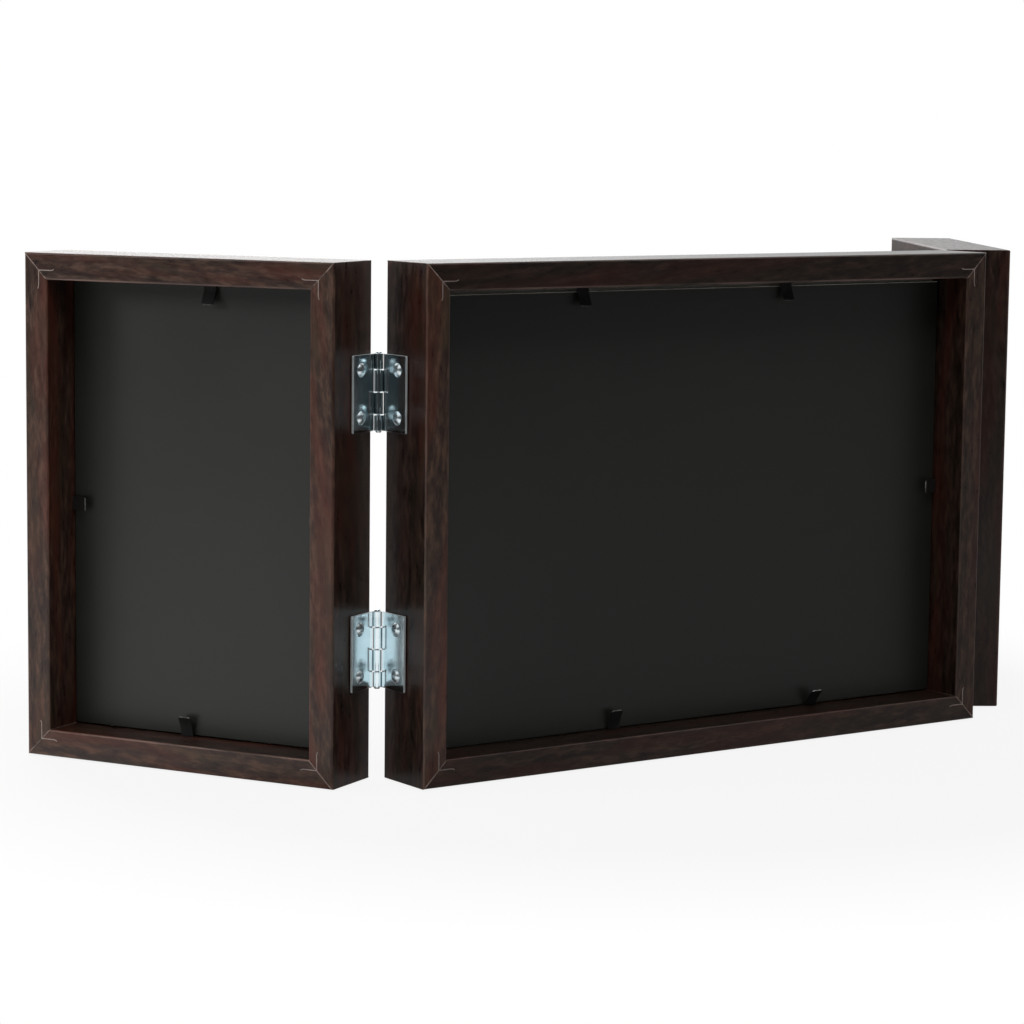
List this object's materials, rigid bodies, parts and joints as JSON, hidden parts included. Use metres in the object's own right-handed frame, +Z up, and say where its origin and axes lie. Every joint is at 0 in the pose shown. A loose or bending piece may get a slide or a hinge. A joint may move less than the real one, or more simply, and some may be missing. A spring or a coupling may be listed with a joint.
{
  "type": "trifold photo frame",
  "caption": "Folding wooden photo frame: a wide middle frame with narrow door-like wings on butt hinges, rebated mitred mouldings, glazing, and backing boards held by bendable tabs.",
  "frame": {"origin": "middle of the middle frame's bottom face, on the surface that the frame stands on", "axes": "+X to the right as seen from the front and along the middle frame, +Y to the back, where the rebates open, +Z up"},
  "size_m": [0.4068, 0.1312, 0.169],
  "materials": {
    "stained_wood": "dark brown stain under satin lacquer, grain along each rail",
    "clear_glazing": "clear float glass with ground edges",
    "grey_board": "matt dark grey hardboard",
    "zinc_hinge": "bright zinc plate",
    "zinc_screw": "bright zinc plate",
    "black_tab": "blackened spring steel"
  },
  "bodies": {
    "middle": {"middle_bottom_rail": "stained_wood", "middle_right_stile": "stained_wood", "middle_top_rail": "stained_wood", "middle_left_stile": "stained_wood", "middle_glazing": "clear_glazing", "middle_backing_board": "grey_board", "right_upper_hinge_frame_leaf": "zinc_hinge", "right_upper_hinge_pin": "zinc_hinge", "right_upper_hinge_frame_screw_1": "zinc_screw", "right_upper_hinge_frame_screw_2": "zinc_screw", "right_lower_hinge_frame_leaf": "zinc_hinge", "right_lower_hinge_pin": "zinc_hinge", "right_lower_hinge_frame_screw_1": "zinc_screw", "right_lower_hinge_frame_screw_2": "zinc_screw", "left_upper_hinge_frame_leaf": "zinc_hinge", "left_upper_hinge_pin": "zinc_hinge", "left_upper_hinge_frame_screw_1": "zinc_screw", "left_upper_hinge_frame_screw_2": "zinc_screw", "left_lower_hinge_frame_leaf": "zinc_hinge", "left_lower_hinge_pin": "zinc_hinge", "left_lower_hinge_frame_screw_1": "zinc_screw", "left_lower_hinge_frame_screw_2": "zinc_screw"},
    "right_wing": {"right_wing_bottom_rail": "stained_wood", "right_wing_hinge_stile": "stained_wood", "right_wing_top_rail": "stained_wood", "right_wing_free_stile": "stained_wood", "right_wing_glazing": "clear_glazing", "right_wing_backing_board": "grey_board", "right_upper_hinge_wing_leaf": "zinc_hinge", "right_upper_hinge_wing_screw_1": "zinc_screw", "right_upper_hinge_wing_screw_2": "zinc_screw", "right_lower_hinge_wing_leaf": "zinc_hinge", "right_lower_hinge_wing_screw_1": "zinc_screw", "right_lower_hinge_wing_screw_2": "zinc_screw"},
    "left_wing": {"left_wing_bottom_rail": "stained_wood", "left_wing_hinge_stile": "stained_wood", "left_wing_top_rail": "stained_wood", "left_wing_free_stile": "stained_wood", "left_wing_glazing": "clear_glazing", "left_wing_backing_board": "grey_board", "left_upper_hinge_wing_leaf": "zinc_hinge", "left_upper_hinge_wing_screw_1": "zinc_screw", "left_upper_hinge_wing_screw_2": "zinc_screw", "left_lower_hinge_wing_leaf": "zinc_hinge", "left_lower_hinge_wing_screw_1": "zinc_screw", "left_lower_hinge_wing_screw_2": "zinc_screw"},
    "middle_top_right_tab": {"middle_top_right_tab": "black_tab"},
    "middle_top_left_tab": {"middle_top_left_tab": "black_tab"},
    "middle_bottom_left_tab": {"middle_bottom_left_tab": "black_tab"},
    "middle_bottom_right_tab": {"middle_bottom_right_tab": "black_tab"},
    "middle_right_tab": {"middle_right_tab": "black_tab"},
    "middle_left_tab": {"middle_left_tab": "black_tab"},
    "right_wing_top_tab": {"right_wing_top_tab": "black_tab"},
    "right_wing_bottom_tab": {"right_wing_bottom_tab": "black_tab"},
    "right_wing_free_tab": {"right_wing_free_tab": "black_tab"},
    "right_wing_hinge_tab": {"right_wing_hinge_tab": "black_tab"},
    "left_wing_top_tab": {"left_wing_top_tab": "black_tab"},
    "left_wing_bottom_tab": {"left_wing_bottom_tab": "black_tab"},
    "left_wing_hinge_tab": {"left_wing_hinge_tab": "black_tab"},
    "left_wing_free_tab": {"left_wing_free_tab": "black_tab"}
  },
  "joints": [
    {"name": "right_wing_fold", "type": "hinge", "parent": "middle", "child": "right_wing", "pos_m": [0.1213, -0.0135, 0.0845], "axis": [0, 0, -1], "range_deg": [-50, 118]},
    {"name": "left_wing_fold", "type": "hinge", "parent": "middle", "child": "left_wing", "pos_m": [-0.1213, -0.0135, 0.0845], "axis": [0, 0, 1], "range_deg": [-46, 122]},
    {"name": "middle_top_right_tab_bend", "type": "hinge", "parent": "middle", "child": "middle_top_right_tab", "pos_m": [0.0488, -0.00205, 0.1597], "axis": [1, 0, 0], "range_deg": [-12, 60]},
    {"name": "middle_top_left_tab_bend", "type": "hinge", "parent": "middle", "child": "middle_top_left_tab", "pos_m": [-0.0382, -0.00205, 0.1597], "axis": [1, 0, 0], "range_deg": [-12, 60]},
    {"name": "middle_bottom_left_tab_bend", "type": "hinge", "parent": "middle", "child": "middle_bottom_left_tab", "pos_m": [-0.0536, -0.00205, 0.0093], "axis": [-1, 0, 0], "range_deg": [-28, 44]},
    {"name": "middle_bottom_right_tab_bend", "type": "hinge", "parent": "middle", "child": "middle_bottom_right_tab", "pos_m": [0.0334, -0.00205, 0.0093], "axis": [-1, 0, 0], "range_deg": [-12, 60]},
    {"name": "middle_right_tab_bend", "type": "hinge", "parent": "middle", "child": "middle_right_tab", "pos_m": [0.1102, -0.00205, 0.0845], "axis": [0, 0, -1], "range_deg": [-12, 60]},
    {"name": "middle_left_tab_bend", "type": "hinge", "parent": "middle", "child": "middle_left_tab", "pos_m": [-0.1102, -0.00205, 0.0845], "axis": [0, 0, 1], "range_deg": [-12, 60]},
    {"name": "right_wing_top_tab_bend", "type": "hinge", "parent": "right_wing", "child": "right_wing_top_tab", "pos_m": [0.15803, -0.05819, 0.1597], "axis": [0.4695, -0.8829, 0], "range_deg": [-12, 60]},
    {"name": "right_wing_bottom_tab_bend", "type": "hinge", "parent": "right_wing", "child": "right_wing_bottom_tab", "pos_m": [0.16235, -0.06631, 0.0093], "axis": [-0.4695, 0.8829, 0], "range_deg": [-12, 60]},
    {"name": "right_wing_free_tab_bend", "type": "hinge", "parent": "right_wing", "child": "right_wing_free_tab", "pos_m": [0.18376, -0.10657, 0.0845], "axis": [0, 0, -1], "range_deg": [-12, 60]},
    {"name": "right_wing_hinge_tab_bend", "type": "hinge", "parent": "right_wing", "child": "right_wing_hinge_tab", "pos_m": [0.13662, -0.01793, 0.0845], "axis": [0, 0, 1], "range_deg": [-12, 60]},
    {"name": "left_wing_top_tab_bend", "type": "hinge", "parent": "left_wing", "child": "left_wing_top_tab", "pos_m": [-0.16593, -0.06332, 0.1597], "axis": [0.5299, 0.848, 0], "range_deg": [-12, 60]},
    {"name": "left_wing_bottom_tab_bend", "type": "hinge", "parent": "left_wing", "child": "left_wing_bottom_tab", "pos_m": [-0.16106, -0.05552, 0.0093], "axis": [-0.5299, -0.848, 0], "range_deg": [-12, 60]},
    {"name": "left_wing_hinge_tab_bend", "type": "hinge", "parent": "left_wing", "child": "left_wing_hinge_tab", "pos_m": [-0.13689, -0.01685, 0.0845], "axis": [0, 0, -1], "range_deg": [-12, 60]},
    {"name": "left_wing_free_tab_bend", "type": "hinge", "parent": "left_wing", "child": "left_wing_free_tab", "pos_m": [-0.1901, -0.10199, 0.0845], "axis": [0, 0, 1], "range_deg": [-12, 60]}
  ]
}
